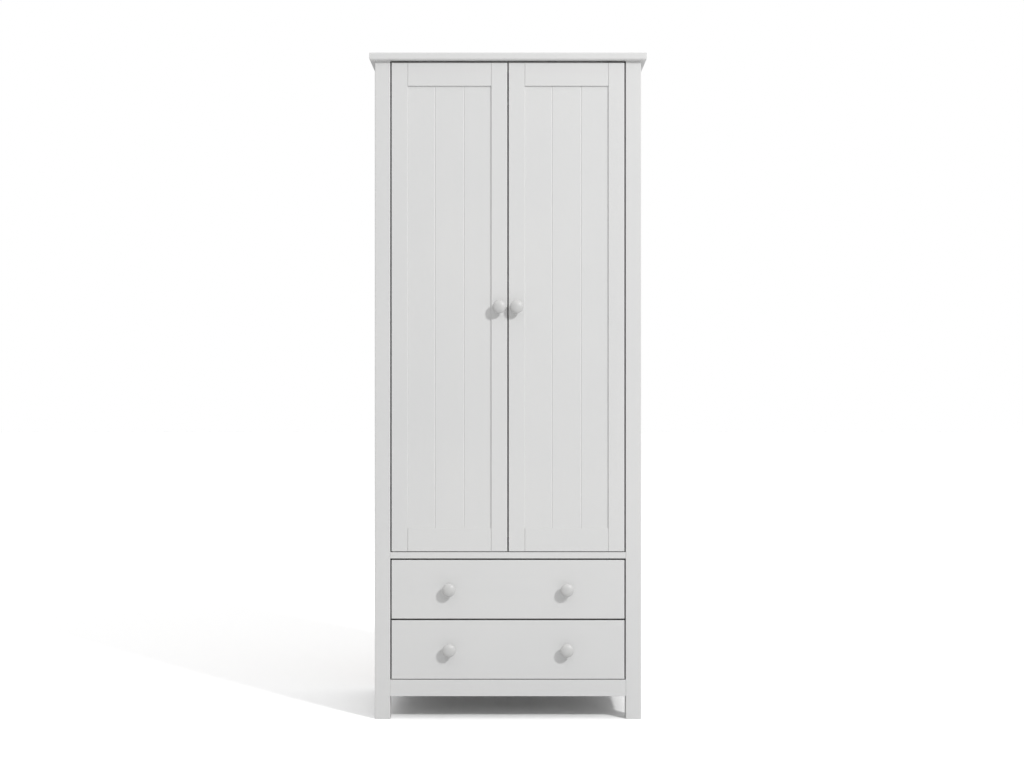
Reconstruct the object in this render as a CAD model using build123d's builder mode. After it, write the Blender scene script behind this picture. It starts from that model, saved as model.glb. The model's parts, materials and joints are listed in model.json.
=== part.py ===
from build123d import *
import os

# A freestanding wardrobe: two framed doors above two drawers.
#
# Four square legs run from the floor to an overhanging top. Side panels, side rails, plinth
# rails, a base and a divider shelf join them. The doors are inset between the front legs on
# single-pivot concealed hinges, and the drawers run on roller runners.
#
# Millimetres, +Z up. The origin is on the floor, below the middle of the whole object with
# its knobs. The front faces -Y, and +X is to the right of someone facing the wardrobe.

# ---- carcass ----
HEIGHT = 1900
BODY_WIDTH = 760  # over the legs
BODY_DEPTH = 510  # front of the front legs to back of the rear legs
LEG = 44
TOP_THICKNESS = 22
TOP_OVERHANG = 15  # past the legs at the front and at each side
SIDE_PANEL = 16
SIDE_RAIL = 30
SIDE_RAIL_HEIGHT = 66
FLOOR_GAP = 65  # clear height under the plinth
PLINTH_HEIGHT = 47
RAIL_THICKNESS = 22
BASE_THICKNESS = 15
DIVIDER_BOTTOM = 458
DIVIDER_THICKNESS = 18
REAR_RAIL_HEIGHT = 45
BACK_THICKNESS = 3
BACK_REBATE = (8, 5)  # how far it is cut into the rear legs, along X and along Y
STOP_RAIL = (540, 18, 30)  # length, thickness and height of the rail the doors close against
BUMPER = 1.5  # space for the bumpers on that rail
TOP_CORNER_ROUND = 6.5  # seen from above
TOP_EDGE_ROUND = 3
TOP_LOWER_ROUND = 6
EDGE_ROUND = 2
SMALL_ROUND = 1
OVERCUT = 1  # how far a cut passes the faces it opens

# ---- doors ----
DOOR_GAP = 3.5  # at the hinge edges and where the doors meet
DOOR_BOTTOM_GAP = 2.5
DOOR_TOP_GAP = 5
FRONT_THICKNESS = 20  # doors and drawer fronts
STILE = 46
DOOR_RAIL = 66
PANEL_THICKNESS = 8
PANEL_RECESS = 4
TONGUE = 6  # depth of the grooves that hold the panel and the rails' tongues
TONGUE_END_GAP = 0.5
SHOULDER_GAP = 0.4  # line left open between a rail and a stile
MIDDLE_BOARD = 83  # between the two V grooves of a panel
V_GROOVE = (4, 1.2)  # width and depth

# ---- knobs ----
KNOB_REACH = 30
KNOB_RADIUS = 19
# Half of the knob's outline as control points of Bezier curves: radius, and distance from the door.
KNOB_NECK = [(9.5, 0), (6, 5), (6, 13), (13, 17)]
KNOB_SHOULDER = [(13, 17), (16, 18.2), (KNOB_RADIUS, 18.5), (KNOB_RADIUS, 21)]
KNOB_DOME = [(KNOB_RADIUS, 21), (KNOB_RADIUS, 25.5), (11, KNOB_REACH), (0, KNOB_REACH)]

# ---- drawers ----
LOW_FRONT_GAP = 2  # above the plinth
FRONT_GAP = 4.5  # between the fronts, and below the divider
DRAWER_BOARD = 12
DRAWER_SIDE_HEIGHT = 120
DRAWER_SIDE_LIFT = 20  # lower edge of the sides above that of the front
DRAWER_LENGTH = 450
DRAWER_BOTTOM = 4
DRAWER_BOTTOM_LIFT = 8
RUNNER_SPACE = 12.5  # between a drawer side and the carcass

# ---- hinges ----
HINGE_END_DISTANCE = 100  # outer hinges from the ends of the door
PIVOT_FROM_EDGE = 22  # pivot and cup centre, from the hinge edge of the door
PIVOT_FROM_FRONT = 11
CUP_RADIUS = 17.5
CUP_WALL = 1.2
CUP_FLOOR = 1
CUP_DEPTH = 12.9
CUP_FLANGE = (34, 56, 1)  # along X, along Z, thickness
CUP_FLANGE_ROUND = 6
PIN_RADIUS = 1.25
PIN_END_INSET = 0.6  # from the outside of the cup's wall
RUNNING_CLEARANCE = 0.05
EYE_RADIUS = 2.5
ARM_THICKNESS = 2.5
ARM_HEIGHT = 14
ARM_BEND = 4
# Bends of an arm's plan between its eye and its tail, as distances from the side panel's face
# and from the front: straight out of the cup, then round the sweep of the door's edge.
ARM_BENDS = [(45.9, 29.4), (35.7, 40.7), (16, 43)]
ARM_TAIL_SETBACK = 52
PLATE_SETBACK = 62  # middle of a mounting plate, behind the front
PLATE_WING = (20, 46, 2)  # along Y, along Z, thickness
PLATE_BLOCK = (-10, 15, 14)  # front and rear ends from the plate's middle, and height
PLATE_RISE = 5.75  # outer face of the arm's tail from the side panel
PLATE_SCREW_SPACING = 32
CLAMP_SCREW_SETBACK = 67

# ---- roller runners ----
STEEL = 1.2
ROLLER_RADIUS = 7.5
ROLLER_WIDTH = 7
ROLLER_GAP = 0.2  # between a roller and the flange it runs on
ROLLER_CHAMFER = 0.6
ROLLER_INSET = 6.5  # middle of a roller from the carcass face
AXLE_RADIUS = 2
CHANNEL_WIDTH = 11
CHANNEL_DROP = 12  # channel's underside below the lower edge of the drawer side
MEMBER_RISE = 13  # top of the drawer member above that edge
CHANNEL_HEADROOM = 1
CHANNEL_END_GAP = 2
ROLLER_END_DISTANCE = 14
AXLE_TAB = 8  # half length and depth of the tab that carries the rear roller's axle
RUNNER_SCREW_LIFT = 2
RUNNER_SCREW_INSETS = (45, 30)  # first and last screw from the channel's ends

# ---- hanging rail ----
RAIL_RADIUS = 12.5
RAIL_WALL = 1.2
RAIL_DROP = 78  # axis below the top
SOCKET_PLATE = (26, 3)  # radius and thickness
SOCKET_CUP = (16, 14)  # radius and depth
SOCKET_GAP = 0.1
SOCKET_SCREW_OFFSET = 21

# ---- screws: head radius, head height, shank radius, length under the head ----
FITTING_SCREW = (3.2, 1.5, 1.75, 12)
CLAMP_SCREW = (3.5, 2, 2, 4)
BACK_SCREW = (3, 1.4, 1.25, 14)
HOLE_CLEARANCE = 0.1
RECESS = (1.1, 0.6)  # cross recess as parts of the head's radius (length) and height (depth)
RECESS_WIDTH = 0.9
BACK_SCREW_ROWS = 7
BACK_SCREW_END = 20
BACK_SCREW_FROM_SPLIT = 4.5
BACK_SCREW_COLUMNS = (-240, -80, 80, 240)

# ---- derived places ----
FRONT_Y = KNOB_REACH - (BODY_DEPTH + KNOB_REACH) / 2
REAR_Y = FRONT_Y + BODY_DEPTH
BACK_Y = REAR_Y - BACK_REBATE[1]  # front of the back panels
OUTER_X = BODY_WIDTH / 2
INNER_X = OUTER_X - LEG  # inner face of the legs and side panels
TOP_UNDERSIDE = HEIGHT - TOP_THICKNESS
PLINTH_TOP = FLOOR_GAP + PLINTH_HEIGHT
BASE_BOTTOM = PLINTH_TOP - BASE_THICKNESS
DIVIDER_TOP = DIVIDER_BOTTOM + DIVIDER_THICKNESS
BACK_SPLIT = (DIVIDER_BOTTOM + DIVIDER_TOP) / 2

DOOR_BOTTOM = DIVIDER_TOP + DOOR_BOTTOM_GAP
DOOR_TOP = TOP_UNDERSIDE - DOOR_TOP_GAP
FRONT_BACK_Y = FRONT_Y + FRONT_THICKNESS  # back of the doors and drawer fronts
DOOR_X = (DOOR_GAP / 2, INNER_X - DOOR_GAP)  # meeting edge and hinge edge
PANEL_X = (DOOR_X[0] + STILE, DOOR_X[1] - STILE)
PANEL_Y = (FRONT_Y + PANEL_RECESS, FRONT_Y + PANEL_RECESS + PANEL_THICKNESS)
PANEL_Z = (DOOR_BOTTOM + DOOR_RAIL, DOOR_TOP - DOOR_RAIL)
HINGE_ZS = (
    DOOR_BOTTOM + HINGE_END_DISTANCE,
    (DOOR_BOTTOM + DOOR_TOP) / 2,
    DOOR_TOP - HINGE_END_DISTANCE,
)
PIVOT_X = DOOR_X[1] - PIVOT_FROM_EDGE
PIVOT_Y = FRONT_Y + PIVOT_FROM_FRONT
PLATE_Y = FRONT_Y + PLATE_SETBACK
ARM_X = INNER_X - PLATE_RISE  # outer face of the arms' tails

FRONT_HEIGHT = (DIVIDER_BOTTOM - PLINTH_TOP - LOW_FRONT_GAP - 2 * FRONT_GAP) / 2
LOWER_BASE = PLINTH_TOP + LOW_FRONT_GAP
DRAWER_BASES = {"lower": LOWER_BASE, "upper": LOWER_BASE + FRONT_HEIGHT + FRONT_GAP}
DRAWER_X = INNER_X - RUNNER_SPACE  # outside of the drawer's sides
DRAWER_REAR_Y = FRONT_BACK_Y + DRAWER_LENGTH
CHANNEL_Y = (FRONT_BACK_Y + CHANNEL_END_GAP, DRAWER_REAR_Y + CHANNEL_END_GAP)
FRONT_ROLLER_Y = CHANNEL_Y[0] + ROLLER_END_DISTANCE
REAR_ROLLER_Y = DRAWER_REAR_Y - ROLLER_END_DISTANCE
ROLLER_X = (INNER_X - ROLLER_INSET - ROLLER_WIDTH / 2, INNER_X - ROLLER_INSET + ROLLER_WIDTH / 2)

RAIL_Y = (FRONT_BACK_Y + BACK_Y) / 2
RAIL_Z = TOP_UNDERSIDE - RAIL_DROP

OUTWARD = (Align.CENTER, Align.CENTER, Align.MIN)
INWARD = (Align.CENTER, Align.CENTER, Align.MAX)
TO_BACK = (0, 1, 0)
TO_MIDDLE = (-1, 0, 0)  # from the right-hand side of the carcass

os.makedirs("parts", exist_ok=True)


# ================= helpers =================


def save(builder, label):
    """Labels a finished piece and writes it."""
    builder.part.label = label
    export_step(builder.part, f"parts/{label}.step")


def save_pair(builder, label):
    """Writes a right-hand piece and its left-hand mirror image."""
    save(builder, f"right_{label}")
    with BuildPart() as mirrored:
        mirror(builder.part, about=Plane.YZ)
    save(mirrored, f"left_{label}")


def block(xs, ys, zs, mode=Mode.ADD):
    """A rectangular block between two limits along each axis, in the part being built."""
    limits = (sorted(xs), sorted(ys), sorted(zs))
    size = [high - low for low, high in limits]
    middle = tuple((low + high) / 2 for low, high in limits)
    with Locations(middle):
        Box(*size, mode=mode)


def seat(x, y, z, direction):
    """A plane at a point, facing along a direction."""
    return Plane(origin=(x, y, z), z_dir=direction)


def make_screw(sizes):
    """One cross-recessed screw, its head standing on the XY plane and its shank below it."""
    head_radius, head_height, shank_radius, length = sizes
    with BuildPart() as screw:
        Cylinder(head_radius, head_height, align=OUTWARD)
        fillet(screw.edges().sort_by(Axis.Z)[-1], head_height / 2)
        Cylinder(shank_radius, length, align=INWARD)
        with Locations((0, 0, head_height)):
            for size in ((RECESS[0] * head_radius, RECESS_WIDTH), (RECESS_WIDTH, RECESS[0] * head_radius)):
                Box(*size, RECESS[1] * head_height, align=INWARD, mode=Mode.SUBTRACT)
    return screw


def place_screws(sizes, seats):
    """Copies of one screw at each seat, in the part being built."""
    screw = make_screw(sizes)
    with Locations(*seats):
        add(screw.part)


def drill(sizes, seats):
    """Holes for the shanks of screws at each seat, in the part being built."""
    with Locations(*seats):
        Cylinder(
            sizes[2] + HOLE_CLEARANCE,
            sizes[3] + HOLE_CLEARANCE,
            align=INWARD,
            mode=Mode.SUBTRACT,
        )


# ================= screw seats, on the right-hand side or on both =================


def edge_z(base):
    """Height of the lower edge of a drawer's sides."""
    return base + DRAWER_SIDE_LIFT


def plate_seats(z):
    """The two screws of one mounting plate."""
    x = INNER_X - PLATE_WING[2]
    return [seat(x, PLATE_Y, z + end * PLATE_SCREW_SPACING / 2, TO_MIDDLE) for end in (-1, 1)]


def runner_seats(base):
    """The three screws of one carcass channel."""
    first, last = CHANNEL_Y[0] + RUNNER_SCREW_INSETS[0], CHANNEL_Y[1] - RUNNER_SCREW_INSETS[1]
    z = edge_z(base) + RUNNER_SCREW_LIFT
    return [seat(INNER_X - STEEL, y, z, TO_MIDDLE) for y in (first, (first + last) / 2, last)]


def socket_seats():
    """The two screws of one rail socket, above and below the rail."""
    x = INNER_X - SOCKET_PLATE[1]
    return [seat(x, RAIL_Y, RAIL_Z + end * SOCKET_SCREW_OFFSET, TO_MIDDLE) for end in (-1, 1)]


def back_seats():
    """The back panels' screws, up both rear legs and along the rails, divider and base."""
    y = BACK_Y + BACK_THICKNESS
    first, last = BASE_BOTTOM + BACK_SCREW_END, TOP_UNDERSIDE - BACK_SCREW_END
    step = (last - first) / (BACK_SCREW_ROWS - 1)
    leg_x = INNER_X + BACK_REBATE[0] / 2
    on_legs = [
        seat(x, y, first + row * step, TO_BACK)
        for x in (-leg_x, leg_x)
        for row in range(BACK_SCREW_ROWS)
    ]
    heights = (
        BASE_BOTTOM + BASE_THICKNESS / 2,
        BACK_SPLIT - BACK_SCREW_FROM_SPLIT,
        BACK_SPLIT + BACK_SCREW_FROM_SPLIT,
        last,
    )
    return on_legs + [seat(x, y, z, TO_BACK) for x in BACK_SCREW_COLUMNS for z in heights]


CLAMP_SEATS = [seat(ARM_X - ARM_THICKNESS, FRONT_Y + CLAMP_SCREW_SETBACK, z, TO_MIDDLE) for z in HINGE_ZS]
PLATE_SEATS = [place for z in HINGE_ZS for place in plate_seats(z)]
RUNNER_SEATS = [place for base in DRAWER_BASES.values() for place in runner_seats(base)]
SOCKET_SEATS = socket_seats()
BACK_SEATS = back_seats()

with BuildPart() as fitting_screws:
    place_screws(FITTING_SCREW, PLATE_SEATS + RUNNER_SEATS + SOCKET_SEATS)
    place_screws(CLAMP_SCREW, CLAMP_SEATS)
    mirror(about=Plane.YZ)
save(fitting_screws, "fitting_screws")

with BuildPart() as back_panel_screws:
    place_screws(BACK_SCREW, BACK_SEATS)
save(back_panel_screws, "back_panel_screws")

# ================= carcass =================

with BuildPart() as front_leg:
    with BuildSketch():
        with Locations((OUTER_X - LEG / 2, FRONT_Y + LEG / 2)):
            RectangleRounded(LEG, LEG, EDGE_ROUND)
    extrude(amount=TOP_UNDERSIDE)
    chamfer(front_leg.faces().sort_by(Axis.Z)[0].edges(), SMALL_ROUND)
save_pair(front_leg, "front_leg")

with BuildPart() as rear_leg:
    with BuildSketch():
        with Locations((OUTER_X - LEG / 2, REAR_Y - LEG / 2)):
            RectangleRounded(LEG, LEG, EDGE_ROUND)
    extrude(amount=TOP_UNDERSIDE)
    chamfer(rear_leg.faces().sort_by(Axis.Z)[0].edges(), SMALL_ROUND)
    rebate_x = (INNER_X - OVERCUT, INNER_X + BACK_REBATE[0])
    rebate_z = (BASE_BOTTOM, TOP_UNDERSIDE + OVERCUT)
    block(rebate_x, (BACK_Y, REAR_Y + OVERCUT), rebate_z, mode=Mode.SUBTRACT)
    drill(BACK_SCREW, BACK_SEATS)
save_pair(rear_leg, "rear_leg")

SIDE_Y = (FRONT_Y + LEG, REAR_Y - LEG)
LOWER_RAIL_Z = (FLOOR_GAP, FLOOR_GAP + SIDE_RAIL_HEIGHT)
UPPER_RAIL_Z = (TOP_UNDERSIDE - SIDE_RAIL_HEIGHT, TOP_UNDERSIDE)

with BuildPart() as side_panel:
    block((INNER_X, INNER_X + SIDE_PANEL), SIDE_Y, (LOWER_RAIL_Z[1], UPPER_RAIL_Z[0]))
    drill(FITTING_SCREW, PLATE_SEATS + RUNNER_SEATS + SOCKET_SEATS)
save_pair(side_panel, "side_panel")


def make_side_rail(zs):
    """A rail between the front and rear legs of the right-hand side."""
    with BuildPart() as rail:
        block((INNER_X, INNER_X + SIDE_RAIL), SIDE_Y, zs)
        outside = rail.faces().sort_by(Axis.X)[-1]
        fillet(outside.edges().filter_by(Axis.Y), EDGE_ROUND)
        drill(FITTING_SCREW, SOCKET_SEATS)
    return rail


save_pair(make_side_rail(LOWER_RAIL_Z), "lower_side_rail")
save_pair(make_side_rail(UPPER_RAIL_Z), "upper_side_rail")

FULL_X = (-INNER_X, INNER_X)

with BuildPart() as front_plinth:
    block(FULL_X, (FRONT_Y, FRONT_Y + RAIL_THICKNESS), (FLOOR_GAP, PLINTH_TOP))
    fillet(front_plinth.faces().sort_by(Axis.Y)[0].edges().filter_by(Axis.X), SMALL_ROUND)
save(front_plinth, "front_plinth")

with BuildPart() as rear_plinth:
    block(FULL_X, (BACK_Y - RAIL_THICKNESS, BACK_Y), (FLOOR_GAP, BASE_BOTTOM))
save(rear_plinth, "rear_plinth")

with BuildPart() as base_panel:
    block(FULL_X, (FRONT_Y + RAIL_THICKNESS, BACK_Y), (BASE_BOTTOM, PLINTH_TOP))
    drill(BACK_SCREW, BACK_SEATS)
save(base_panel, "base_panel")

with BuildPart() as divider_shelf:
    block(FULL_X, (FRONT_Y, BACK_Y), (DIVIDER_BOTTOM, DIVIDER_TOP))
    fillet(divider_shelf.faces().sort_by(Axis.Y)[0].edges().filter_by(Axis.X), SMALL_ROUND)
    drill(BACK_SCREW, BACK_SEATS)
save(divider_shelf, "divider_shelf")

with BuildPart() as rear_top_rail:
    block(FULL_X, (BACK_Y - RAIL_THICKNESS, BACK_Y), (TOP_UNDERSIDE - REAR_RAIL_HEIGHT, TOP_UNDERSIDE))
    drill(BACK_SCREW, BACK_SEATS)
save(rear_top_rail, "rear_top_rail")

with BuildPart() as door_stop_rail:
    length, thickness, height = STOP_RAIL
    stop_y = FRONT_BACK_Y + BUMPER
    block((-length / 2, length / 2), (stop_y, stop_y + thickness), (TOP_UNDERSIDE - height, TOP_UNDERSIDE))
    fillet(door_stop_rail.faces().sort_by(Axis.Z)[0].edges(), SMALL_ROUND)
save(door_stop_rail, "door_stop_rail")


def make_back_panel(zs):
    """A thin board in the rebates of the rear legs."""
    reach = INNER_X + BACK_REBATE[0] - TONGUE_END_GAP
    with BuildPart() as panel:
        block((-reach, reach), (BACK_Y, BACK_Y + BACK_THICKNESS), zs)
        drill(BACK_SCREW, BACK_SEATS)
    return panel


save(make_back_panel((BASE_BOTTOM, BACK_SPLIT)), "lower_back_panel")
save(make_back_panel((BACK_SPLIT, TOP_UNDERSIDE)), "upper_back_panel")

with BuildPart() as top_panel:
    reach_x = OUTER_X + TOP_OVERHANG
    block((-reach_x, reach_x), (FRONT_Y - TOP_OVERHANG, REAR_Y), (TOP_UNDERSIDE, HEIGHT))
    fillet(top_panel.edges().filter_by(Axis.Z).group_by(Axis.Y)[0], TOP_CORNER_ROUND)
    for level, radius in ((-1, TOP_EDGE_ROUND), (0, TOP_LOWER_ROUND)):
        rim = top_panel.faces().filter_by(Axis.Z).sort_by(Axis.Z)[level].edges()
        fillet(rim.filter_by(lambda edge: edge.center().Y < REAR_Y - SMALL_ROUND), radius)
save(top_panel, "top_panel")

# ================= hanging rail =================

with BuildPart() as hanging_rail:
    half = INNER_X - SOCKET_PLATE[1]
    with Locations(seat(0, RAIL_Y, RAIL_Z, TO_MIDDLE)):
        Cylinder(RAIL_RADIUS, 2 * half)
        Cylinder(RAIL_RADIUS - RAIL_WALL, 2 * half, mode=Mode.SUBTRACT)
save(hanging_rail, "hanging_rail")

with BuildPart() as rail_sockets:
    wall = seat(INNER_X, RAIL_Y, RAIL_Z, TO_MIDDLE)
    with Locations(wall):
        Cylinder(SOCKET_PLATE[0], SOCKET_PLATE[1], align=OUTWARD)
    with Locations(wall.offset(SOCKET_PLATE[1])):
        Cylinder(SOCKET_CUP[0], SOCKET_CUP[1], align=OUTWARD)
        fillet(rail_sockets.faces().sort_by(Axis.X)[0].outer_wire().edges(), SMALL_ROUND)
        Cylinder(RAIL_RADIUS + SOCKET_GAP, SOCKET_CUP[1], align=OUTWARD, mode=Mode.SUBTRACT)
    drill(FITTING_SCREW, SOCKET_SEATS)
    mirror(about=Plane.YZ)
save(rail_sockets, "rail_sockets")

# ================= doors, drawn for the right-hand door =================

DOOR_Z = (DOOR_BOTTOM, DOOR_TOP)
FRONT_YS = (FRONT_Y, FRONT_BACK_Y)
GROOVE_X = (PANEL_X[0] - TONGUE, PANEL_X[1] + TONGUE)


def chamfer_front_edge(x):
    """Eases the upright front edge of the part being built that stands at x."""
    upright = edges().filter_by(Axis.Z).group_by(Axis.Y)[0]
    chamfer(upright.sort_by(lambda edge: abs(edge.center().X - x))[0], SMALL_ROUND)


def round_outer_edges(x):
    """Rounds the front and back upright edges of the part being built that stand at x."""
    upright = edges().filter_by(Axis.Z)
    outer = upright.filter_by(lambda edge: abs(edge.center().X - x) < SMALL_ROUND / 2)
    fillet(outer, EDGE_ROUND)


with BuildPart() as hinge_stile:
    block((PANEL_X[1], DOOR_X[1]), FRONT_YS, DOOR_Z)
    round_outer_edges(DOOR_X[1])
    chamfer_front_edge(PANEL_X[1])
    block((PANEL_X[1], GROOVE_X[1]), PANEL_Y, DOOR_Z, mode=Mode.SUBTRACT)
    with Locations(*[seat(PIVOT_X, FRONT_BACK_Y, z, TO_BACK) for z in HINGE_ZS]):
        Cylinder(CUP_RADIUS, CUP_DEPTH, align=INWARD, mode=Mode.SUBTRACT)
save_pair(hinge_stile, "door_hinge_stile")

with BuildPart() as meeting_stile:
    block((DOOR_X[0], PANEL_X[0]), FRONT_YS, DOOR_Z)
    round_outer_edges(DOOR_X[0])
    chamfer_front_edge(PANEL_X[0])
    block((GROOVE_X[0], PANEL_X[0]), PANEL_Y, DOOR_Z, mode=Mode.SUBTRACT)
save_pair(meeting_stile, "door_meeting_stile")


def make_door_rail(outer_z, inner_z):
    """A rail with tongues at both ends and a groove for the panel in its inner edge."""
    inward = TONGUE if outer_z > inner_z else -TONGUE
    shoulders = (PANEL_X[0] + SHOULDER_GAP, PANEL_X[1] - SHOULDER_GAP)
    with BuildPart() as rail:
        block(shoulders, FRONT_YS, (outer_z, inner_z))
        for x in shoulders:
            chamfer_front_edge(x)
        block(
            (GROOVE_X[0] + TONGUE_END_GAP, GROOVE_X[1] - TONGUE_END_GAP),
            PANEL_Y,
            (outer_z, inner_z + inward),
        )
        block(GROOVE_X, PANEL_Y, (inner_z, inner_z + inward), mode=Mode.SUBTRACT)
    return rail


save_pair(make_door_rail(DOOR_TOP, PANEL_Z[1]), "door_top_rail")
save_pair(make_door_rail(DOOR_BOTTOM, PANEL_Z[0]), "door_bottom_rail")

with BuildPart() as door_panel:
    reach = TONGUE - TONGUE_END_GAP
    panel_z = (PANEL_Z[0] - reach, PANEL_Z[1] + reach)
    block((PANEL_X[0] - reach, PANEL_X[1] + reach), PANEL_Y, panel_z)
    panel_middle = sum(PANEL_X) / 2
    groove_xs = (panel_middle - MIDDLE_BOARD / 2, panel_middle + MIDDLE_BOARD / 2)
    with BuildSketch(Plane.XY.offset(panel_z[0])):
        with Locations(*[(x, PANEL_Y[0]) for x in groove_xs]):
            Polygon((-V_GROOVE[0] / 2, 0), (V_GROOVE[0] / 2, 0), (0, V_GROOVE[1]), align=None)
    extrude(amount=panel_z[1] - panel_z[0], mode=Mode.SUBTRACT)
save_pair(door_panel, "door_panel")


def make_knobs(places):
    """Mushroom knobs standing out of the front at places along X and Z."""
    with BuildPart() as knobs:
        for x, z in places:
            with BuildSketch(Plane(origin=(x, FRONT_Y, z), x_dir=(1, 0, 0), z_dir=(0, 0, -1))):
                with BuildLine():
                    Polyline((0, KNOB_REACH), (0, 0), KNOB_NECK[0])
                    Bezier(*KNOB_NECK)
                    Bezier(*KNOB_SHOULDER)
                    Bezier(*KNOB_DOME)
                make_face()
            revolve(axis=Axis((x, FRONT_Y, z), (0, -1, 0)))
    return knobs


save_pair(make_knobs([(DOOR_X[0] + STILE / 2, HINGE_ZS[1])]), "door_knob")

# ================= hinges, drawn for the right-hand door =================

with BuildPart() as hinge_pins:
    with Locations(*[(PIVOT_X, PIVOT_Y, z) for z in HINGE_ZS]):
        Cylinder(PIN_RADIUS, 2 * (CUP_RADIUS - PIN_END_INSET))
save_pair(hinge_pins, "hinge_pins")

with BuildPart() as hinge_cups:
    for z in HINGE_ZS:
        mouth = Plane(origin=(PIVOT_X, FRONT_BACK_Y, z), x_dir=(1, 0, 0), z_dir=TO_BACK)
        with Locations(mouth):
            Cylinder(CUP_RADIUS, CUP_DEPTH, align=INWARD)
        with BuildSketch(mouth):
            RectangleRounded(CUP_FLANGE[0], CUP_FLANGE[1], CUP_FLANGE_ROUND)
        extrude(amount=CUP_FLANGE[2])
        with Locations(mouth.offset(CUP_FLANGE[2])):
            hollow = CUP_DEPTH + CUP_FLANGE[2] - CUP_FLOOR
            Cylinder(CUP_RADIUS - CUP_WALL, hollow, align=INWARD, mode=Mode.SUBTRACT)
    add(hinge_pins.part, mode=Mode.SUBTRACT)
save_pair(hinge_cups, "hinge_cups")

ARM_TAIL = PLATE_RISE + ARM_THICKNESS / 2
ARM_PLAN = [
    (INNER_X - PIVOT_X, PIVOT_FROM_FRONT),
    *ARM_BENDS,
    (ARM_TAIL, ARM_TAIL_SETBACK),
    (ARM_TAIL, PLATE_SETBACK + PLATE_BLOCK[1]),
]

with BuildPart() as hinge_arms:
    for z in HINGE_ZS:
        with BuildSketch(Plane.XY.offset(z - ARM_HEIGHT / 2)):
            with BuildLine():
                FilletPolyline(*[(INNER_X - x, FRONT_Y + y) for x, y in ARM_PLAN], radius=ARM_BEND)
            trace(line_width=ARM_THICKNESS)
            with Locations((PIVOT_X, PIVOT_Y)):
                Circle(EYE_RADIUS)
                Circle(PIN_RADIUS + RUNNING_CLEARANCE, mode=Mode.SUBTRACT)
        extrude(amount=ARM_HEIGHT)
    drill(CLAMP_SCREW, CLAMP_SEATS)
    mirror(about=Plane.YZ)
save(hinge_arms, "hinge_arms")

with BuildPart() as hinge_plates:
    for z in HINGE_ZS:
        length, height, thickness = PLATE_WING
        wing_z = (z - height / 2, z + height / 2)
        block((INNER_X - thickness, INNER_X), (PLATE_Y - length / 2, PLATE_Y + length / 2), wing_z)
        front, rear, height = PLATE_BLOCK
        block((ARM_X, INNER_X), (PLATE_Y + front, PLATE_Y + rear), (z - height / 2, z + height / 2))
    drill(FITTING_SCREW, PLATE_SEATS)
    drill(CLAMP_SCREW, CLAMP_SEATS)
    mirror(about=Plane.YZ)
save(hinge_plates, "hinge_plates")

# ================= drawers =================


def make_drawer_front(base):
    """The front, with a groove in its back for the drawer's bottom."""
    groove_z = edge_z(base) + DRAWER_BOTTOM_LIFT
    with BuildPart() as front:
        block((-DOOR_X[1], DOOR_X[1]), FRONT_YS, (base, base + FRONT_HEIGHT))
        fillet(front.faces().sort_by(Axis.Y)[0].edges(), EDGE_ROUND)
        groove_x = DRAWER_X - DRAWER_BOARD + TONGUE
        block(
            (-groove_x, groove_x),
            (FRONT_BACK_Y - TONGUE, FRONT_BACK_Y),
            (groove_z, groove_z + DRAWER_BOTTOM),
            mode=Mode.SUBTRACT,
        )
    return front


def make_drawer_side(base):
    """The right-hand side, grooved for the bottom."""
    edge = edge_z(base)
    groove_z = edge + DRAWER_BOTTOM_LIFT
    inside = DRAWER_X - DRAWER_BOARD
    ys = (FRONT_BACK_Y, DRAWER_REAR_Y)
    with BuildPart() as side:
        block((inside, DRAWER_X), ys, (edge, edge + DRAWER_SIDE_HEIGHT))
        fillet(side.faces().sort_by(Axis.Z)[-1].edges().filter_by(Axis.Y), SMALL_ROUND)
        block((inside, inside + TONGUE), ys, (groove_z, groove_z + DRAWER_BOTTOM), mode=Mode.SUBTRACT)
    return side


def make_drawer_back(base):
    """The back, standing on the bottom between the sides."""
    edge = edge_z(base)
    inside = DRAWER_X - DRAWER_BOARD
    zs = (edge + DRAWER_BOTTOM_LIFT + DRAWER_BOTTOM, edge + DRAWER_SIDE_HEIGHT)
    with BuildPart() as back:
        block((-inside, inside), (DRAWER_REAR_Y - DRAWER_BOARD, DRAWER_REAR_Y), zs)
    return back


def make_drawer_bottom(base):
    """The bottom, in the grooves of the sides and the front."""
    low = edge_z(base) + DRAWER_BOTTOM_LIFT
    reach = TONGUE - TONGUE_END_GAP
    half = DRAWER_X - DRAWER_BOARD + reach
    with BuildPart() as bottom:
        block((-half, half), (FRONT_BACK_Y - reach, DRAWER_REAR_Y), (low, low + DRAWER_BOTTOM))
    return bottom


def make_drawer_knobs(base):
    """Two knobs, each halfway between the middle of the drawer and its leg."""
    z = base + FRONT_HEIGHT / 2
    return make_knobs([(-INNER_X / 2, z), (INNER_X / 2, z)])


# ================= roller runners =================


def front_roller_z(base):
    """The carcass roller carries the drawer member's upper flange."""
    return edge_z(base) + MEMBER_RISE - STEEL - ROLLER_GAP - ROLLER_RADIUS


def rear_roller_z(base):
    """The drawer roller runs on the channel's lower flange."""
    return edge_z(base) - CHANNEL_DROP + STEEL + ROLLER_GAP + ROLLER_RADIUS


def axle(xs, y, z):
    """A roller's axle between two places along X, in the part being built."""
    with Locations(seat(sum(xs) / 2, y, z, TO_MIDDLE)):
        Cylinder(AXLE_RADIUS, abs(xs[1] - xs[0]))


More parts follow.
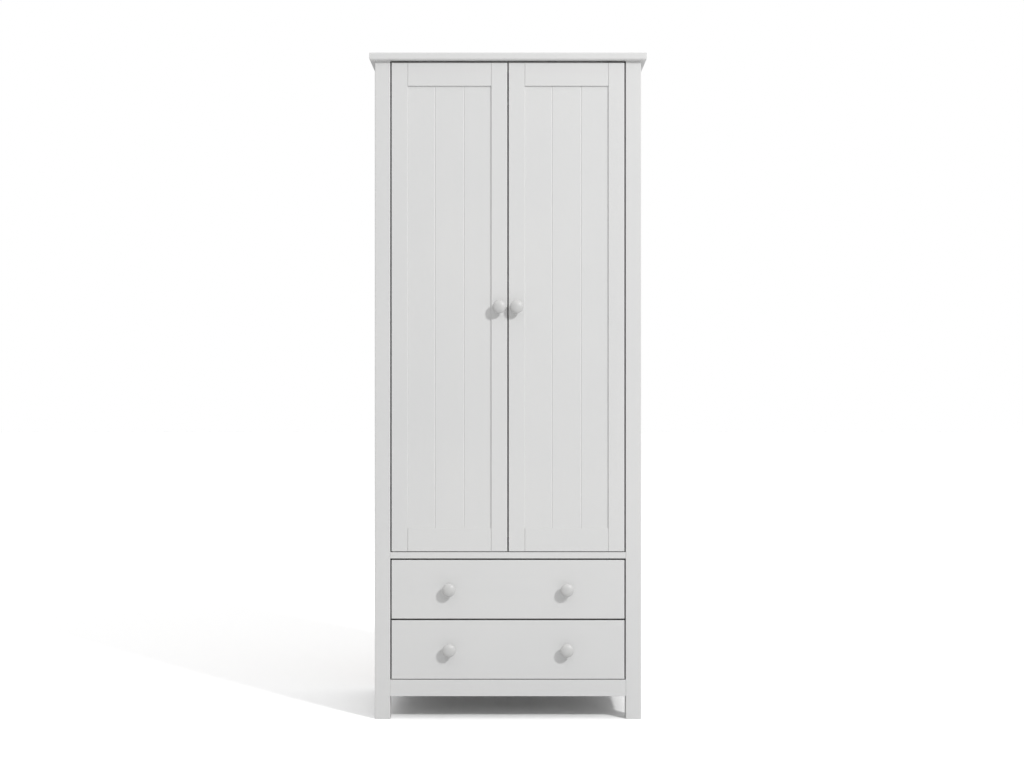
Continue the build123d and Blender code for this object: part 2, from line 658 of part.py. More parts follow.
def channel(base):
    """The right-hand carcass channel with its front axle, in the part being built."""
    edge = edge_z(base)
    low, high = edge - CHANNEL_DROP, edge + MEMBER_RISE + CHANNEL_HEADROOM + STEEL
    web = INNER_X - STEEL
    lip = INNER_X - CHANNEL_WIDTH
    block((web, INNER_X), CHANNEL_Y, (low, high))
    block((lip, INNER_X), CHANNEL_Y, (low, low + STEEL))
    block((lip, INNER_X), CHANNEL_Y, (high - STEEL, high))
    axle((lip, web), FRONT_ROLLER_Y, front_roller_z(base))


def make_drawer_members(base):
    """The angle under each drawer side, its rolling flange and the rear roller's axle."""
    edge = edge_z(base)
    high = edge + MEMBER_RISE
    web = DRAWER_X + STEEL
    ys = (FRONT_BACK_Y, DRAWER_REAR_Y)
    tab_ys = (REAR_ROLLER_Y - AXLE_TAB, REAR_ROLLER_Y + AXLE_TAB)
    with BuildPart() as members:
        block((DRAWER_X, web), ys, (edge - STEEL, high))
        block((DRAWER_X - DRAWER_BOARD, web), ys, (edge - STEEL, edge))
        block((DRAWER_X, ROLLER_X[1]), ys, (high - STEEL, high))
        block((DRAWER_X, web), tab_ys, (edge - AXLE_TAB, edge))
        axle((DRAWER_X, ROLLER_X[1]), REAR_ROLLER_Y, rear_roller_z(base))
        mirror(about=Plane.YZ)
    return members


def make_rollers(y, z):
    """A pair of rollers on one axis, one at each side of a drawer."""
    with BuildPart() as rollers:
        with Locations(seat(sum(ROLLER_X) / 2, y, z, TO_MIDDLE)):
            Cylinder(ROLLER_RADIUS, ROLLER_WIDTH)
            chamfer(rollers.edges().filter_by(GeomType.CIRCLE), ROLLER_CHAMFER)
            Cylinder(AXLE_RADIUS + RUNNING_CLEARANCE, ROLLER_WIDTH, mode=Mode.SUBTRACT)
        mirror(about=Plane.YZ)
    return rollers


with BuildPart() as carcass_runners:
    for base in DRAWER_BASES.values():
        channel(base)
    drill(FITTING_SCREW, RUNNER_SEATS)
    mirror(about=Plane.YZ)
save(carcass_runners, "carcass_runners")

for name, base in DRAWER_BASES.items():
    save(make_drawer_front(base), f"{name}_drawer_front")
    save_pair(make_drawer_side(base), f"{name}_drawer_side")
    save(make_drawer_back(base), f"{name}_drawer_back")
    save(make_drawer_bottom(base), f"{name}_drawer_bottom")
    save(make_drawer_knobs(base), f"{name}_drawer_knobs")
    save(make_drawer_members(base), f"{name}_drawer_runners")
    save(make_rollers(FRONT_ROLLER_Y, front_roller_z(base)), f"{name}_front_rollers")
    save(make_rollers(REAR_ROLLER_Y, rear_roller_z(base)), f"{name}_rear_rollers")
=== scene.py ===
import json
import math

import bpy
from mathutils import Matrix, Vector


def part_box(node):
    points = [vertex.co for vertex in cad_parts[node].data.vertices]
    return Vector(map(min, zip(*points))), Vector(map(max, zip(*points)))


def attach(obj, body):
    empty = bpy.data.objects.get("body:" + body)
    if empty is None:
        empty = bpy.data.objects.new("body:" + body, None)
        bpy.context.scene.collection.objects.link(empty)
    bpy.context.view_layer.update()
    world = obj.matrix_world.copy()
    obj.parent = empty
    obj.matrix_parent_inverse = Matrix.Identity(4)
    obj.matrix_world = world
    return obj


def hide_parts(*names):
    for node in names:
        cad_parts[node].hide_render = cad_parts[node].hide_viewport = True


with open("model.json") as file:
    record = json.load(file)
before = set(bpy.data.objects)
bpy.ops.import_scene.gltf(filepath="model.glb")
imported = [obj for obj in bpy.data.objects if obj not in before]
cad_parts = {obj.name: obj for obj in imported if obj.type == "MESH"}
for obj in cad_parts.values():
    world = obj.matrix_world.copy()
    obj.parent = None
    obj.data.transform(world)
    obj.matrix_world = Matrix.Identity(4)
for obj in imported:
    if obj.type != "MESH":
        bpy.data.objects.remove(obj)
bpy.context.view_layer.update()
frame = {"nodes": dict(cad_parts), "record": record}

# A white painted wardrobe in a plain studio. Everything is in metres, in the CAD frame: the
# front faces -Y, +X is to the right of someone facing it, and +Z is up.

MM = 0.001
NODES = frame["nodes"]
BODY_OF = {
    node: body for body, nodes in frame["record"]["behaviour"]["bodies"].items() for node in nodes
}
SLOT_OF = {part["node"]: part["material_slot"] for part in frame["record"]["subparts"]}


# ---------------------------------------------------------------- shader helpers

BEVEL_SAMPLES = 4
FLAT_COSINE = 0.985  # between the rounded and the true normal, where the edge mask begins: for worn edges, and for the painted highlight on the paint's edges
EDGE_COSINE = 0.86  # and where it is complete


class Shader:
    """A material's node tree, with short calls for the nodes that the finishes share."""

    def __init__(self, name):
        self.material = bpy.data.materials.new(name)
        self.material.use_nodes = True
        self.tree = self.material.node_tree
        self.surface = self.tree.nodes["Principled BSDF"]
        self.position = self.add("ShaderNodeTexCoord").outputs["Object"]

    def feed(self, socket, value):
        """Puts a plain value on a socket, or links the socket that the value is."""
        if isinstance(value, bpy.types.NodeSocket):
            self.tree.links.new(value, socket)
        else:
            socket.default_value = value

    def add(self, kind, inputs=None, **settings):
        """A new node. An input is a value, or the socket that feeds it."""
        made = self.tree.nodes.new(kind)
        for key, value in settings.items():
            setattr(made, key, value)
        for key, value in (inputs or {}).items():
            self.feed(made.inputs[key], value)
        return made

    def set(self, **values):
        """Plain values or feeding sockets on the surface shader. Underscores stand for spaces."""
        for key, value in values.items():
            self.feed(self.surface.inputs[key.replace("_", " ")], value)

    def stretched(self, scale):
        """The object's own coordinates, scaled along each axis."""
        inputs = {"Vector": self.position, "Scale": scale}
        return self.add("ShaderNodeMapping", inputs).outputs["Vector"]

    def noise(self, scale, detail=2.0, roughness=0.5, vector=None, distortion=0.0):
        """Noise from 0 to 1, in the object's own coordinates unless others are given."""
        inputs = {
            "Vector": vector or self.position,
            "Scale": scale,
            "Detail": detail,
            "Roughness": roughness,
            "Distortion": distortion,
        }
        return self.add("ShaderNodeTexNoise", inputs).outputs["Fac"]

    def math(self, operation, first, second=0.0):
        """One step of arithmetic."""
        return self.add("ShaderNodeMath", {0: first, 1: second}, operation=operation).outputs[0]

    def remap(self, value, low, high, to_low, to_high):
        """A value's range stretched to another range, and clamped to it."""
        inputs = {0: value, 1: low, 2: high, 3: to_low, 4: to_high}
        return self.add("ShaderNodeMapRange", inputs, clamp=True).outputs[0]

    def mix(self, factor, first, second):
        """One colour fading to another. The node's colour sockets are inputs 6 and 7 and output 2."""
        inputs = {0: factor, 6: first, 7: second}
        return self.add("ShaderNodeMix", inputs, data_type="RGBA").outputs[2]

    def bump(self, height, distance, strength, under=None):
        """A normal bent by a height pattern, on top of the relief under it."""
        inputs = {"Height": height, "Distance": distance, "Strength": strength}
        if under:
            inputs["Normal"] = under
        return self.add("ShaderNodeBump", inputs).outputs["Normal"]

    def edge_mask(self, radius):
        """1 on sharp edges and corners, 0 on flat faces."""
        bevelled = self.add("ShaderNodeBevel", {"Radius": radius}, samples=BEVEL_SAMPLES)
        rounded = bevelled.outputs["Normal"]
        facing = self.add("ShaderNodeNewGeometry").outputs["Normal"]
        dot = self.add("ShaderNodeVectorMath", {0: rounded, 1: facing}, operation="DOT_PRODUCT")
        return self.remap(dot.outputs["Value"], FLAT_COSINE, EDGE_COSINE, 0.0, 1.0)


def rgb(red, green, blue):
    """An opaque colour, in linear light."""
    return (red, green, blue, 1.0)


def grey(value):
    """An opaque neutral colour."""
    return rgb(value, value, value)


AXES = {"x": 0, "y": 1, "z": 2}


def grain_scale(axis, along):
    """Coordinates squeezed along the grain, so that the pattern runs that way."""
    return tuple(along if index == AXES[axis] else 1.0 for index in range(3))


# ---------------------------------------------------------------- finishes

PAINT = rgb(0.70, 0.70, 0.695)
PAINT_COOL = rgb(0.68, 0.682, 0.68)
# Lighter paint for the edges: a painted highlight.
PAINT_EDGE_HIGHLIGHT = rgb(0.76, 0.755, 0.74)
# The knobs' paint, darker than the body's: painted shade that keeps the knobs from standing out bright.
KNOB_PAINT_SHADED = rgb(0.57, 0.57, 0.565)
KNOB_WORN_SHADED = rgb(0.61, 0.605, 0.59)


def painted_wood(name, axis):
    """Sprayed satin paint on wood: faint grain below it, orange peel on it, edges worn by rubbing to a lower
    roughness, and a painted highlight that lightens them.
    """
    s = Shader(name)
    fibres = s.noise(210, 5, 0.62, s.stretched(grain_scale(axis, 0.035)))
    broad = s.noise(26, 3, 0.5, s.stretched(grain_scale(axis, 0.06)), distortion=0.6)
    peel = s.noise(900, 1.5, 0.4)
    clouds = s.noise(2.2, 2, 0.5)
    # Patches along the edges: the paint is worn less rough there, and its colour is lightened as a painted
    # highlight.
    rubbed_and_lightened = s.math("MULTIPLY", s.edge_mask(1.6 * MM), s.remap(s.noise(38, 3), 0.42, 0.62, 0, 1))
    tone = s.mix(s.remap(clouds, 0.35, 0.65, 0, 1), PAINT, PAINT_COOL)
    tone = s.mix(s.remap(broad, 0.5, 0.8, 0, 0.35), tone, PAINT_COOL)
    tone = s.mix(s.math("MULTIPLY", rubbed_and_lightened, 0.6), tone, PAINT_EDGE_HIGHLIGHT)
    gloss = s.remap(fibres, 0.3, 0.7, 0.36, 0.46)
    gloss = s.math("SUBTRACT", gloss, s.math("MULTIPLY", rubbed_and_lightened, 0.08))
    relief = s.bump(fibres, 0.05 * MM, 0.5)
    relief = s.bump(broad, 0.12 * MM, 0.35, relief)
    relief = s.bump(peel, 0.025 * MM, 0.6, relief)
    s.set(Base_Color=tone, Roughness=gloss, Normal=relief, IOR=1.48)
    return s.material


def shaded_turned_paint():
    """Paint on the turned knobs, a little greyer than the body's, as painted shade that tones the knobs
    down, with faint rings from the lathe.
    """
    s = Shader("shaded_turned_paint")
    rings = s.noise(500, 3, 0.6, s.stretched((0.05, 1.0, 0.05)))
    peel = s.noise(1100, 1.5, 0.4)
    rubbed_and_lightened = s.remap(s.noise(60, 3), 0.45, 0.75, 0, 0.5)
    # Both knob colours are darkened as painted shade.
    tone = s.mix(rubbed_and_lightened, KNOB_PAINT_SHADED, KNOB_WORN_SHADED)
    relief = s.bump(rings, 0.03 * MM, 0.4)
    relief = s.bump(peel, 0.02 * MM, 0.5, relief)
    s.set(Base_Color=tone, Roughness=s.remap(rings, 0.3, 0.7, 0.36, 0.46), Normal=relief, IOR=1.48)
    return s.material


def lacquered_pine(name, axis):
    """Clear-lacquered softwood: growth rings as level lines of a long noise, and fine fibres."""
    s = Shader(name)
    field = s.noise(7.5, 2, 0.45, s.stretched(grain_scale(axis, 0.09)), distortion=0.25)
    rings = s.math("FRACT", s.math("MULTIPLY", field, 17.0))
    late = s.remap(rings, 0.55, 0.97, 0, 1)
    early = s.remap(rings, 0.97, 1.0, 1, 0)
    band = s.math("MULTIPLY", late, early)
    fibres = s.noise(420, 4, 0.65, s.stretched(grain_scale(axis, 0.02)))
    clouds = s.noise(5, 2)
    tone = s.mix(s.remap(clouds, 0.3, 0.7, 0, 1), rgb(0.66, 0.45, 0.25), rgb(0.72, 0.52, 0.31))
    tone = s.mix(s.math("MULTIPLY", band, 0.55), tone, rgb(0.47, 0.26, 0.11))
    tone = s.mix(s.remap(fibres, 0.5, 0.75, 0, 0.35), tone, rgb(0.53, 0.33, 0.16))
    relief = s.bump(fibres, 0.06 * MM, 0.6)
    relief = s.bump(band, 0.05 * MM, 0.5, relief)
    s.set(Base_Color=tone, Roughness=s.remap(fibres, 0.3, 0.7, 0.38, 0.52), Normal=relief, IOR=1.5)
    return s.material


INSIDE_FACING, BACK_FACING = -0.5, 0.2  # the normal's Y, where one side's finish ends and the other's begins


def hardboard():
    """Thin fibre board: white lacquer on the inside, bare brown fibres at the back."""
    s = Shader("hardboard")
    normal = s.add("ShaderNodeNewGeometry").outputs["Normal"]
    facing = s.add("ShaderNodeSeparateXYZ", {0: normal}).outputs["Y"]
    behind = s.remap(facing, INSIDE_FACING, BACK_FACING, 0, 1)
    fibres = s.noise(900, 5, 0.7, s.stretched((1.0, 1.0, 0.45)))
    flecks = s.remap(s.noise(330, 4, 0.75), 0.58, 0.7, 0, 1)
    clouds = s.noise(6, 3)
    brown = s.mix(s.remap(fibres, 0.3, 0.7, 0, 1), rgb(0.17, 0.095, 0.048), rgb(0.30, 0.18, 0.095))
    brown = s.mix(s.math("MULTIPLY", flecks, 0.5), brown, rgb(0.11, 0.055, 0.026))
    brown = s.mix(s.remap(clouds, 0.35, 0.65, 0, 0.35), brown, rgb(0.26, 0.16, 0.085))
    white = s.mix(s.remap(clouds, 0.35, 0.65, 0, 1), PAINT, PAINT_COOL)
    depth = s.remap(facing, INSIDE_FACING, BACK_FACING, 0.12, 0.8)
    gloss = s.remap(facing, INSIDE_FACING, BACK_FACING, 0.42, 0.62)
    relief = s.bump(fibres, 0.08 * MM, depth)
    s.set(Base_Color=s.mix(behind, white, brown), Roughness=gloss, Normal=relief)
    return s.material


SMUDGE_SHADE = 0.9  # of the clean metal's colour


def metal(name, colour, low, high, brushed=(1.0, 1.0, 1.0), edge_tint=0.0):
    """Plated or bare metal with brush lines or a fine grain, and edges tinted lighter."""
    s = Shader(name)
    lines = s.noise(1400, 3, 0.6, s.stretched(brushed))
    smudges = s.noise(45, 3, 0.6)
    smudged = rgb(*(SMUDGE_SHADE * part for part in colour[:3]))
    tint = s.mix(s.remap(smudges, 0.35, 0.7, 0, 1), colour, smudged)
    # A lighter tint along every edge.
    if edge_tint:
        tint = s.mix(s.math("MULTIPLY", s.edge_mask(0.5 * MM), edge_tint), tint, rgb(0.82, 0.82, 0.81))
    gloss = s.math("ADD", s.remap(lines, 0.3, 0.7, low, high), s.remap(smudges, 0.4, 0.7, 0, 0.06))
    relief = s.bump(lines, 0.015 * MM, 0.5)
    s.set(Base_Color=tint, Roughness=gloss, Normal=relief, Metallic=1.0)
    return s.material


def powder_coat():
    """White powder coat on the runners, scuffed to bare steel along the edges."""
    s = Shader("powder_coat")
    peel = s.noise(650, 2, 0.5)
    scuffs = s.remap(s.noise(260, 4, 0.7, s.stretched((1.0, 0.05, 1.0))), 0.6, 0.72, 0, 1)
    bare = s.math("MULTIPLY", s.edge_mask(0.7 * MM), scuffs)
    tone = s.mix(s.remap(s.noise(9), 0.35, 0.65, 0, 1), rgb(0.80, 0.80, 0.79), rgb(0.75, 0.75, 0.745))
    tone = s.mix(bare, tone, rgb(0.42, 0.42, 0.41))
    relief = s.bump(peel, 0.05 * MM, 0.7)
    s.set(Base_Color=tone, Roughness=s.remap(peel, 0.3, 0.7, 0.34, 0.46), Normal=relief)
    return s.material


def nylon(name, colour):
    """Moulded nylon, slightly translucent, with a fine sparkle of roughness."""
    s = Shader(name)
    grain = s.noise(1500, 2, 0.6)
    dirt = s.remap(s.noise(120, 3, 0.6), 0.5, 0.75, 0, 0.4)
    tone = s.mix(dirt, colour, rgb(0.45, 0.43, 0.40))
    s.set(
        Base_Color=tone,
        Roughness=s.remap(grain, 0.3, 0.7, 0.42, 0.56),
        Normal=s.bump(grain, 0.02 * MM, 0.6),
        Subsurface_Weight=0.15,
        Subsurface_Scale=1.5 * MM,
    )
    return s.material


PAINTS = {axis: painted_wood(f"satin_paint_{axis}", axis) for axis in AXES}
PINES = {axis: lacquered_pine(f"lacquered_pine_{axis}", axis) for axis in AXES}
FINISHES = {
    "knob_paint": shaded_turned_paint(),
    "backing_board": hardboard(),
    "hinge_steel": metal("nickel_plate", rgb(0.58, 0.57, 0.55), 0.24, 0.36, edge_tint=0.5),
    "rail_chrome": metal("chrome_tube", rgb(0.72, 0.72, 0.73), 0.10, 0.20, brushed=(0.02, 1.0, 1.0)),
    "screw_steel": metal("zinc_plate", rgb(0.60, 0.59, 0.54), 0.26, 0.42, edge_tint=0.4),
    "runner_paint": powder_coat(),
    "roller_nylon": nylon("roller_nylon", rgb(0.74, 0.72, 0.66)),
}


def grain_axis(node):
    """Boards have their grain along their longest side."""
    low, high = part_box(node)
    size = high - low
    return max(AXES, key=lambda axis: size[AXES[axis]])


def finish_of(node):
    """The material of a node's slot. Painted and lacquered boards get the one that suits their grain."""
    slot = SLOT_OF[node]
    if slot == "white_paint":
        return PAINTS[grain_axis(node)]
    if slot == "drawer_board":
        return PINES[grain_axis(node)]
    return FINISHES[slot]


for name, piece in NODES.items():
    piece.data.materials.clear()
    piece.data.materials.append(finish_of(name))


# ---------------------------------------------------------------- mesh helpers

TO_FRONT = (0, -1, 0)
TO_BACK = (0, 1, 0)
ON_AXIS = 0.0001 * MM  # a smaller radius of a turned shape is a point
EASED_ANGLE = 40  # degrees, the least turn between faces that counts as an edge


def make_piece(name, points, faces, material, smooth=False):
    """A mesh object from points in the CAD frame."""
    mesh = bpy.data.meshes.new(name)
    mesh.from_pydata([tuple(p) for p in points], [], faces)
    mesh.validate()
    mesh.update()
    for polygon in mesh.polygons:
        polygon.use_smooth = smooth
    mesh.materials.append(material)
    piece = bpy.data.objects.new(name, mesh)
    bpy.context.scene.collection.objects.link(piece)
    return piece


def ease_edges(piece, width):
    """Takes the sharpness off a piece's edges."""
    modifier = piece.modifiers.new("eased_edges", "BEVEL")
    modifier.width = width
    modifier.segments = 2
    modifier.limit_method = "ANGLE"
    modifier.angle_limit = math.radians(EASED_ANGLE)
    modifier.harden_normals = True


def arc(centre, radius, start, end, steps):
    """Points of an arc in a profile's plane, with angles in degrees."""
    turns = [math.radians(start + (end - start) * i / steps) for i in range(steps + 1)]
    return [(centre[0] + radius * math.cos(t), centre[1] + radius * math.sin(t)) for t in turns]


def bezier(points, steps):
    """Points of a cubic curve in a profile's plane."""
    curve = []
    for i in range(steps + 1):
        t = i / steps
        u = 1 - t
        weights = (u * u * u, 3 * u * u * t, 3 * u * t * t, t * t * t)
        curve.append(tuple(sum(w * p[axis] for w, p in zip(weights, points)) for axis in (0, 1)))
    return curve


def lathe(profile, origin, direction, segments=64):
    """Points and faces of a turned shape. The profile is radius and height along direction."""
    direction = Vector(direction).normalized()
    side = direction.orthogonal().normalized()
    other = direction.cross(side)
    points, rings = [], []
    for radius, height in profile:
        base = Vector(origin) + direction * height
        if radius < ON_AXIS:
            points.append(base)
            rings.append([len(points) - 1] * segments)
            continue
        rings.append(list(range(len(points), len(points) + segments)))
        for k in range(segments):
            turn = 2 * math.pi * k / segments
            points.append(base + radius * (math.cos(turn) * side + math.sin(turn) * other))
    faces = []
    for lower, upper in zip(rings, rings[1:]):
        for k in range(segments):
            n = (k + 1) % segments
            corners = [lower[k], lower[n], upper[n], upper[k]]
            faces.append(list(dict.fromkeys(corners)))
    return points, faces


def join_shapes(shapes):
    """Several (points, faces) lists as one."""
    points, faces = [], []
    for more_points, more_faces in shapes:
        base = len(points)
        points += more_points
        faces += [[base + i for i in face] for face in more_faces]
    return points, faces


# ---------------------------------------------------------------- moulded top

LOWER_ROUND = 6 * MM
TOP_ROUND = 3.5 * MM
TOP_EDGE_EASE = 0.5 * MM


def top_profile(overhang, thickness):
    """The moulded edge, as distance past the legs and height above the top's underside."""
    lower = arc((overhang - LOWER_ROUND, LOWER_ROUND), LOWER_ROUND, -90, 0, steps=10)
    crown = arc((overhang - TOP_ROUND, thickness - TOP_ROUND), TOP_ROUND, 0, 90, steps=8)
    return lower + crown


def build_top():
    """One sweep of the profile round the left, front and right sides, closed above, below and behind."""
    low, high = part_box("top_panel")
    legs_low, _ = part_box("left_front_leg")
    overhang = legs_low.x - low.x
    profile = top_profile(overhang, high.z - low.z)
    points, count = [], len(profile)
    for out, up in profile:
        x, y, z = -legs_low.x + out, legs_low.y - out, low.z + up
        points += [(-x, high.y, z), (-x, y, z), (x, y, z), (x, high.y, z)]
    faces = []
    for row in range(count - 1):
        a, b = 4 * row, 4 * row + 4
        faces += [[a + k, a + k + 1, b + k + 1, b + k] for k in range(3)]
    last = 4 * (count - 1)
    faces.append([last, last + 1, last + 2, last + 3])
    faces.append([3, 2, 1, 0])
    faces.append([4 * row for row in range(count)] + [4 * row + 3 for row in reversed(range(count))])
    top = make_piece("moulded_top", points, faces, PAINTS["x"])
    ease_edges(top, TOP_EDGE_EASE)
    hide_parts("top_panel")
    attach(top, "carcass")


# ---------------------------------------------------------------- knobs and small hardware

KNOB_FOOT = 9.5 * MM  # its radius
KNOB_WAIST = 6 * MM


def knob_profile(radius, reach):
    """A mushroom knob: flared foot, waist, soft shoulder and a low dome."""
    foot = [(0.0, 0.0), (KNOB_FOOT, 0.0), (KNOB_FOOT, 0.8 * MM)]
    flare = (KNOB_FOOT - 0.4 * MM, 1.3 * MM)
    under_head = (13 * MM, 17 * MM)
    widest = (radius, 21 * MM)
    neck = bezier([flare, (KNOB_WAIST, 5 * MM), (KNOB_WAIST, 13 * MM), under_head], steps=14)
    shoulder = bezier([under_head, (16 * MM, 18.2 * MM), (radius, 18.5 * MM), widest], steps=10)
    dome = bezier([widest, (radius, 25.5 * MM), (11 * MM, reach), (0.0, reach)], steps=18)
    return foot + neck + shoulder[1:] + dome[1:]


def build_knobs(node):
    """The turned knobs of one CAD node, which holds one knob or two. Gives where they stand."""
    low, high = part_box(node)
    radius = (high.z - low.z) / 2
    height = (low.z + high.z) / 2
    a_pair = high.x - low.x > 3 * radius
    middles = (low.x + radius, high.x - radius) if a_pair else ((low.x + high.x) / 2,)
    places = [(x, high.y, height) for x in middles]
    profile = knob_profile(radius, high.y - low.y)
    shapes = [lathe(profile, place, TO_FRONT) for place in places]
    knobs = make_piece(f"turned_{node}", *join_shapes(shapes), FINISHES["knob_paint"], smooth=True)
    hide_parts(node)
    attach(knobs, BODY_OF[node])
    return places


HEAD_RINGS = 12
HEAD_SEGMENTS = 48
HEAD_RIM = 0.55  # of the head's height
DOME_POWER = 3.2  # the higher it is, the flatter the head's middle
CROSS_HALF_WIDTH = 0.14  # of the head's radius
CROSS_HALF_LENGTH = 0.58
CROSS_FLOOR = 0.45  # of the dome's height


def screw_head(origin, direction, radius, height):
    """A pan head with a cross recess pressed into its dome."""
    direction = Vector(direction).normalized()
    side = direction.orthogonal().normalized()
    other = direction.cross(side)
    origin = Vector(origin)
    points = [origin + direction * height * CROSS_FLOOR]
    for ring in range(1, HEAD_RINGS + 1):
        reach = ring / HEAD_RINGS
        for k in range(HEAD_SEGMENTS):
            turn = 2 * math.pi * k / HEAD_SEGMENTS
            u, v = reach * math.cos(turn), reach * math.sin(turn)
            crown = height * (1 - (1 - HEAD_RIM) * reach ** DOME_POWER)
            short, long = sorted((abs(u), abs(v)))
            in_cross = short < CROSS_HALF_WIDTH and long < CROSS_HALF_LENGTH
            rise = crown * CROSS_FLOOR if in_cross else crown
            points.append(origin + radius * (u * side + v * other) + direction * rise)
    faces = [[0, 1 + k, 1 + (k + 1) % HEAD_SEGMENTS] for k in range(HEAD_SEGMENTS)]
    for ring in range(HEAD_RINGS):
        a = 1 + ring * HEAD_SEGMENTS
        b = a + HEAD_SEGMENTS
        if ring == HEAD_RINGS - 1:
            b = len(points)
            points += [p - direction * height * HEAD_RIM for p in points[a:a + HEAD_SEGMENTS]]
        for k in range(HEAD_SEGMENTS):
            n = (k + 1) % HEAD_SEGMENTS
            faces.append([a + k, b + k, b + n, a + n])
    faces.append([len(points) - HEAD_SEGMENTS + k for k in reversed(range(HEAD_SEGMENTS))])
    return points, faces


def build_screws(name, places, direction, radius, height, body):
    """A group of equal screw heads that ride on one body."""
    shapes = [screw_head(place, direction, radius, height) for place in places]
    screws = make_piece(name, *join_shapes(shapes), FINISHES["screw_steel"])
    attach(screws, body)


KNOB_SCREW = (4.2 * MM, 2.2 * MM)  # a head's radius and height
KNOBBED = (  # a body, its knobs' node and the board that carries them
    ("left_door", "left_door_knob", "left_door_meeting_stile"),
    ("right_door", "right_door_knob", "right_door_meeting_stile"),
    ("upper_drawer", "upper_drawer_knobs", "upper_drawer_front"),
    ("lower_drawer", "lower_drawer_knobs", "lower_drawer_front"),
)


def build_knobs_and_screws():
    """Every knob, and the head of its screw behind the board."""
    for body, knob_node, board in KNOBBED:
        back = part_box(board)[1].y
        places = [(x, back, z) for x, _, z in build_knobs(knob_node)]
        build_screws(f"{body}_knob_screws", places, TO_BACK, *KNOB_SCREW, body)


CUP_SCREW = (3.2 * MM, 1.4 * MM)
CUP_SCREW_SPACING = 45 * MM
CUP_HALF_FLANGE = 28 * MM  # half a cup's height over its flange


def build_cup_screws():
    """The two screw heads on the flange of each hinge cup."""
    for side in ("left", "right"):
        low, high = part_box(f"{side}_hinge_cups")
        heights = (low.z + CUP_HALF_FLANGE, (low.z + high.z) / 2, high.z - CUP_HALF_FLANGE)
        middle = (low.x + high.x) / 2
        places = [(middle, high.y, z + end * CUP_SCREW_SPACING / 2) for z in heights for end in (-1, 1)]
        build_screws(f"{side}_cup_screws", places, TO_BACK, *CUP_SCREW, f"{side}_door")


BUMPER_RADIUS = 4.5 * MM
BUMPER_WALL = 0.4  # of the gap between the rail and the doors; the dome takes the rest
BUMPER_PLACES = (-210 * MM, -30 * MM, 30 * MM, 210 * MM)  # along X, two behind each door
BUMPER_HEIGHT = 0.4  # of the rail's height


def build_bumpers():
    """Soft domes on the rail that the doors close against."""
    low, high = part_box("door_stop_rail")
    gap = low.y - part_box("left_door_top_rail")[1].y
    wall = (BUMPER_RADIUS, BUMPER_WALL * gap)
    crown = [wall, (0.9 * BUMPER_RADIUS, 0.9 * gap), (0.5 * BUMPER_RADIUS, gap), (0, gap)]
    profile = [(0, 0), (BUMPER_RADIUS, 0)] + bezier(crown, steps=8)
    height = low.z + BUMPER_HEIGHT * (high.z - low.z)
    shapes = [lathe(profile, (x, low.y, height), TO_FRONT, segments=32) for x in BUMPER_PLACES]
    rubber = nylon("bumper_rubber", rgb(0.6, 0.6, 0.58))
    bumpers = make_piece("door_bumpers", *join_shapes(shapes), rubber, smooth=True)
    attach(bumpers, "carcass")


# ---------------------------------------------------------------- studio

FLOOR_HALF = 30.0
FLOOR_SEEN = (grey(1.18), grey(1.22))
FLOOR_BOUNCE = grey(0.64)


def build_floor():
    """A pale floor that reaches the horizon. The camera sees it paler than the light it sends back up."""
    s = Shader("studio_floor")
    camera_ray = s.add("ShaderNodeLightPath").outputs["Is Camera Ray"]
    speckle = s.remap(s.noise(40, 3), 0.3, 0.7, 0.0, 1.0)
    tone = s.mix(camera_ray, FLOOR_BOUNCE, s.mix(speckle, *FLOOR_SEEN))
    s.set(Base_Color=tone, Roughness=0.9, Specular_IOR_Level=0.0)
    corners = [(x * FLOOR_HALF, y * FLOOR_HALF, 0) for x, y in ((-1, -1), (1, -1), (1, 1), (-1, 1))]
    make_piece("studio_floor", corners, [[0, 1, 2, 3]], s.material)


WHITE = grey(1.0)
HORIZON_LIGHT = 0.13
ZENITH_LIGHT = 1.20


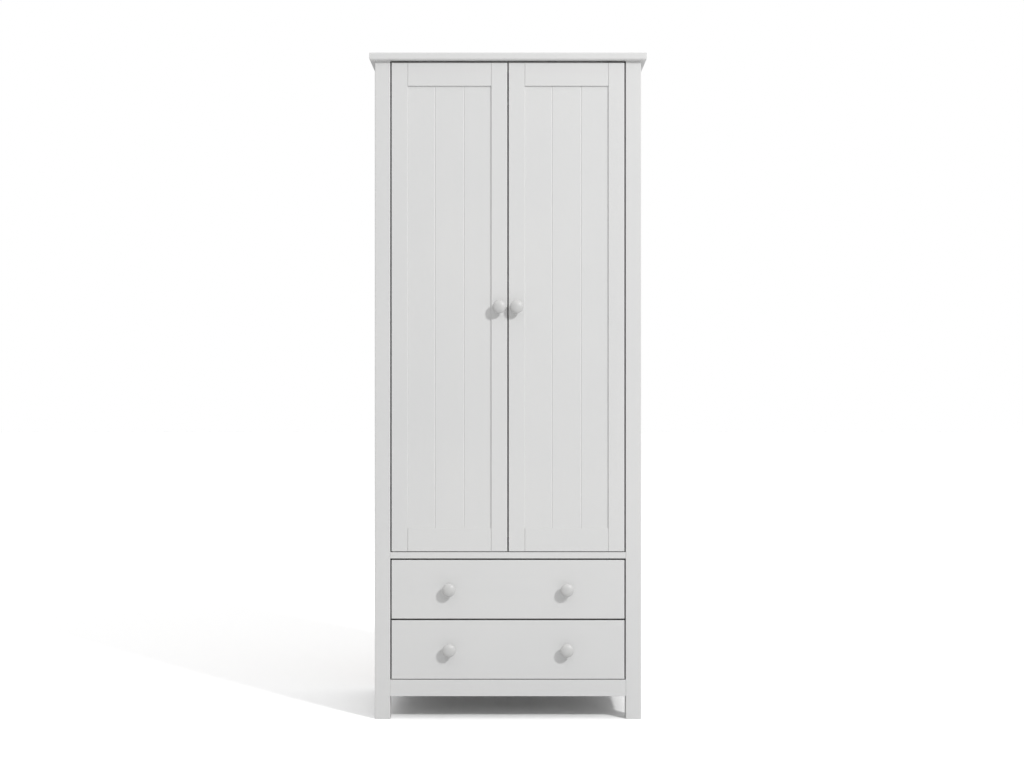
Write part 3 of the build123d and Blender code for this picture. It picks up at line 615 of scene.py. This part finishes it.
def build_world():
    """White behind the object; as a light, dim at the horizon and brighter overhead."""
    world = bpy.data.worlds.new("studio")
    world.use_nodes = True
    bpy.context.scene.world = world
    tree = world.node_tree
    tree.nodes.clear()
    direction = tree.nodes.new("ShaderNodeTexCoord").outputs["Generated"]
    split = tree.nodes.new("ShaderNodeSeparateXYZ")
    tree.links.new(direction, split.inputs[0])
    ramp = tree.nodes.new("ShaderNodeMapRange")
    tree.links.new(split.outputs["Z"], ramp.inputs[0])
    for index, value in ((1, 0.0), (2, 1.0), (3, HORIZON_LIGHT), (4, ZENITH_LIGHT)):
        ramp.inputs[index].default_value = value
    light = tree.nodes.new("ShaderNodeBackground")
    light.inputs["Color"].default_value = WHITE
    tree.links.new(ramp.outputs[0], light.inputs["Strength"])
    seen = tree.nodes.new("ShaderNodeBackground")
    seen.inputs["Color"].default_value = WHITE
    path = tree.nodes.new("ShaderNodeLightPath")
    mixed = tree.nodes.new("ShaderNodeMixShader")
    tree.links.new(path.outputs["Is Camera Ray"], mixed.inputs[0])
    tree.links.new(light.outputs[0], mixed.inputs[1])
    tree.links.new(seen.outputs[0], mixed.inputs[2])
    out = tree.nodes.new("ShaderNodeOutputWorld")
    tree.links.new(mixed.outputs[0], out.inputs[0])


KEY_AT = Vector((4.5, -5.9, 5.3))
KEY_AIM = Vector((0.0, -0.24, 1.0))
KEY_POWER = 378.0  # watts
KEY_SIZE = 0.85  # across


def build_key():
    """One soft key light at the upper right in front, near enough to pale that corner a little."""
    lamp = bpy.data.lights.new("key", "AREA")
    lamp.energy = KEY_POWER
    lamp.shape = "DISK"
    lamp.size = KEY_SIZE
    key = bpy.data.objects.new("key", lamp)
    key.location = KEY_AT
    key.rotation_mode = "QUATERNION"
    key.rotation_quaternion = (KEY_AIM - KEY_AT).to_track_quat("-Z", "Y")
    bpy.context.scene.collection.objects.link(key)


CAMERA_AT = Vector((0.0115, -5.24, 0.956))
CAMERA_LENS = 61.6  # millimetres, as is the sensor's width
SENSOR_WIDTH = 36.0
VIEW_DISTANCE = 200.0


def build_camera():
    """Level, square on, and a little right of the middle."""
    data = bpy.data.cameras.new("camera")
    data.lens = CAMERA_LENS
    data.sensor_width = SENSOR_WIDTH
    data.clip_end = VIEW_DISTANCE
    camera = bpy.data.objects.new("camera", data)
    camera.location = CAMERA_AT
    camera.rotation_euler = (math.pi / 2, 0.0, 0.0)
    bpy.context.scene.collection.objects.link(camera)
    bpy.context.scene.camera = camera


build_top()
build_knobs_and_screws()
build_cup_screws()
build_bumpers()
build_floor()
build_world()
build_key()
build_camera()
bpy.context.scene.view_settings.view_transform = "Standard"
